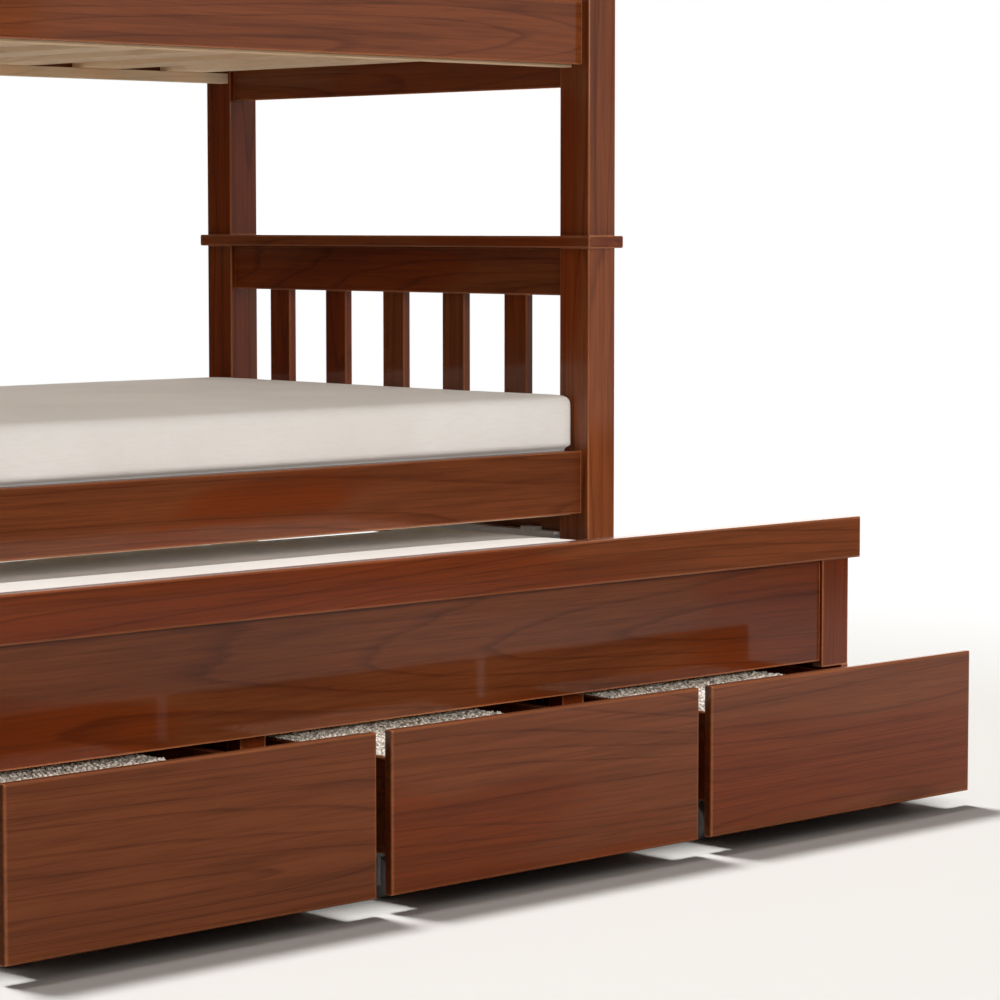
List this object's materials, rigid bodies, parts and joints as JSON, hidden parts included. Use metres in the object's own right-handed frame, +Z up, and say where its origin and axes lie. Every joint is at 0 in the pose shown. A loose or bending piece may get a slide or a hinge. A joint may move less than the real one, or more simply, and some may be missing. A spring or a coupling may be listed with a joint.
{
  "type": "bunk bed with trundle",
  "caption": "Wooden bunk bed with slatted end panels, a pull-out trundle bed and pull-out floor drawers on casters.",
  "frame": {"origin": "on the floor, in the middle of the whole part with the trundle and the drawers pulled out as at rest", "axes": "+X along the bed, +Y towards the back, +Z up; the trundle and the drawers come out towards -Y"},
  "size_m": [2.09, 1.98, 1.672],
  "materials": {
    "stained_wood": "glossy reddish-brown lacquer over horizontal grain",
    "pale_wood": "unfinished pale pine",
    "mattress_fabric": "plain off-white woven cover",
    "throw_textile": "beige looped knit",
    "caster_grey": "matt grey",
    "steel": "bright zinc-plated"
  },
  "bodies": {
    "bed": {"lower_post_front_left": "stained_wood", "lower_post_front_right": "stained_wood", "lower_post_back_left": "stained_wood", "lower_post_back_right": "stained_wood", "lower_end_rails": "stained_wood", "lower_panel_rails": "stained_wood", "lower_panel_slats": "stained_wood", "lower_caps": "stained_wood", "lower_rail_front": "stained_wood", "lower_rail_back": "stained_wood", "lower_ledgers": "pale_wood", "lower_bed_slats": "pale_wood", "lower_mattress": "mattress_fabric", "guide_rails": "steel", "upper_posts_front": "stained_wood", "upper_posts_back": "stained_wood", "upper_end_rails": "stained_wood", "upper_panel_rails": "stained_wood", "upper_panel_slats": "stained_wood", "top_caps": "stained_wood", "upper_rail_front": "stained_wood", "upper_rail_back": "stained_wood", "upper_ledgers": "pale_wood", "upper_bed_slats": "pale_wood", "upper_mattress": "mattress_fabric", "guard_front": "stained_wood", "guard_back": "stained_wood", "ladder_stringers": "stained_wood", "ladder_rungs": "stained_wood", "bed_bolts": "steel"},
    "trundle": {"trundle_top_rail": "stained_wood", "trundle_panel": "stained_wood", "trundle_stiles": "stained_wood", "trundle_sides": "stained_wood", "trundle_dividers": "stained_wood", "trundle_back_board": "stained_wood", "trundle_deck": "pale_wood", "trundle_mattress": "mattress_fabric", "trundle_forks_front": "steel", "trundle_forks_back": "steel"},
    "trundle_wheels_front": {"trundle_wheels_front": "caster_grey"},
    "trundle_wheels_back": {"trundle_wheels_back": "caster_grey"},
    "left_drawer": {"left_drawer_front": "stained_wood", "left_drawer_box": "stained_wood", "left_drawer_throw": "throw_textile", "left_drawer_forks": "steel"},
    "left_drawer_wheels_front": {"left_drawer_wheels_front": "caster_grey"},
    "left_drawer_wheels_back": {"left_drawer_wheels_back": "caster_grey"},
    "middle_drawer": {"middle_drawer_front": "stained_wood", "middle_drawer_box": "stained_wood", "middle_drawer_throw": "throw_textile", "middle_drawer_forks": "steel"},
    "middle_drawer_wheels_front": {"middle_drawer_wheels_front": "caster_grey"},
    "middle_drawer_wheels_back": {"middle_drawer_wheels_back": "caster_grey"},
    "right_drawer": {"right_drawer_front": "stained_wood", "right_drawer_box": "stained_wood", "right_drawer_throw": "throw_textile", "right_drawer_forks": "steel"},
    "right_drawer_wheels_front": {"right_drawer_wheels_front": "caster_grey"},
    "right_drawer_wheels_back": {"right_drawer_wheels_back": "caster_grey"}
  },
  "joints": [
    {"name": "trundle_slide", "type": "slide", "parent": "bed", "child": "trundle", "axis": [0, -1, 0], "range_m": [-0.64, 0.35]},
    {"name": "trundle_wheels_front_spin", "type": "hinge", "parent": "trundle", "child": "trundle_wheels_front", "pos_m": [0, -0.695, 0.03], "axis": [1, 0, 0], "continuous": true},
    {"name": "trundle_wheels_back_spin", "type": "hinge", "parent": "trundle", "child": "trundle_wheels_back", "pos_m": [0, 0.244, 0.03], "axis": [1, 0, 0], "continuous": true},
    {"name": "left_drawer_slide", "type": "slide", "parent": "trundle", "child": "left_drawer", "axis": [0, -1, 0], "range_m": [-0.224, 0.3]},
    {"name": "left_drawer_wheels_front_spin", "type": "hinge", "parent": "left_drawer", "child": "left_drawer_wheels_front", "pos_m": [0, -0.89, 0.03], "axis": [1, 0, 0], "continuous": true},
    {"name": "left_drawer_wheels_back_spin", "type": "hinge", "parent": "left_drawer", "child": "left_drawer_wheels_back", "pos_m": [0, -0.454, 0.03], "axis": [1, 0, 0], "continuous": true},
    {"name": "middle_drawer_slide", "type": "slide", "parent": "trundle", "child": "middle_drawer", "axis": [0, -1, 0], "range_m": [-0.224, 0.3]},
    {"name": "middle_drawer_wheels_front_spin", "type": "hinge", "parent": "middle_drawer", "child": "middle_drawer_wheels_front", "pos_m": [0, -0.89, 0.03], "axis": [1, 0, 0], "continuous": true},
    {"name": "middle_drawer_wheels_back_spin", "type": "hinge", "parent": "middle_drawer", "child": "middle_drawer_wheels_back", "pos_m": [0, -0.454, 0.03], "axis": [1, 0, 0], "continuous": true},
    {"name": "right_drawer_slide", "type": "slide", "parent": "trundle", "child": "right_drawer", "axis": [0, -1, 0], "range_m": [-0.224, 0.3]},
    {"name": "right_drawer_wheels_front_spin", "type": "hinge", "parent": "right_drawer", "child": "right_drawer_wheels_front", "pos_m": [0, -0.89, 0.03], "axis": [1, 0, 0], "continuous": true},
    {"name": "right_drawer_wheels_back_spin", "type": "hinge", "parent": "right_drawer", "child": "right_drawer_wheels_back", "pos_m": [0, -0.454, 0.03], "axis": [1, 0, 0], "continuous": true}
  ],
  "couplings": [
    {"joint": "trundle_wheels_front_spin", "follows": "trundle_slide", "rad_per_m": 33.333},
    {"joint": "trundle_wheels_back_spin", "follows": "trundle_slide", "rad_per_m": 33.333},
    {"joint": "left_drawer_wheels_front_spin", "follows": "left_drawer_slide", "rad_per_m": 33.333},
    {"joint": "left_drawer_wheels_back_spin", "follows": "left_drawer_slide", "rad_per_m": 33.333},
    {"joint": "middle_drawer_wheels_front_spin", "follows": "middle_drawer_slide", "rad_per_m": 33.333},
    {"joint": "middle_drawer_wheels_back_spin", "follows": "middle_drawer_slide", "rad_per_m": 33.333},
    {"joint": "right_drawer_wheels_front_spin", "follows": "right_drawer_slide", "rad_per_m": 33.333},
    {"joint": "right_drawer_wheels_back_spin", "follows": "right_drawer_slide", "rad_per_m": 33.333}
  ]
}
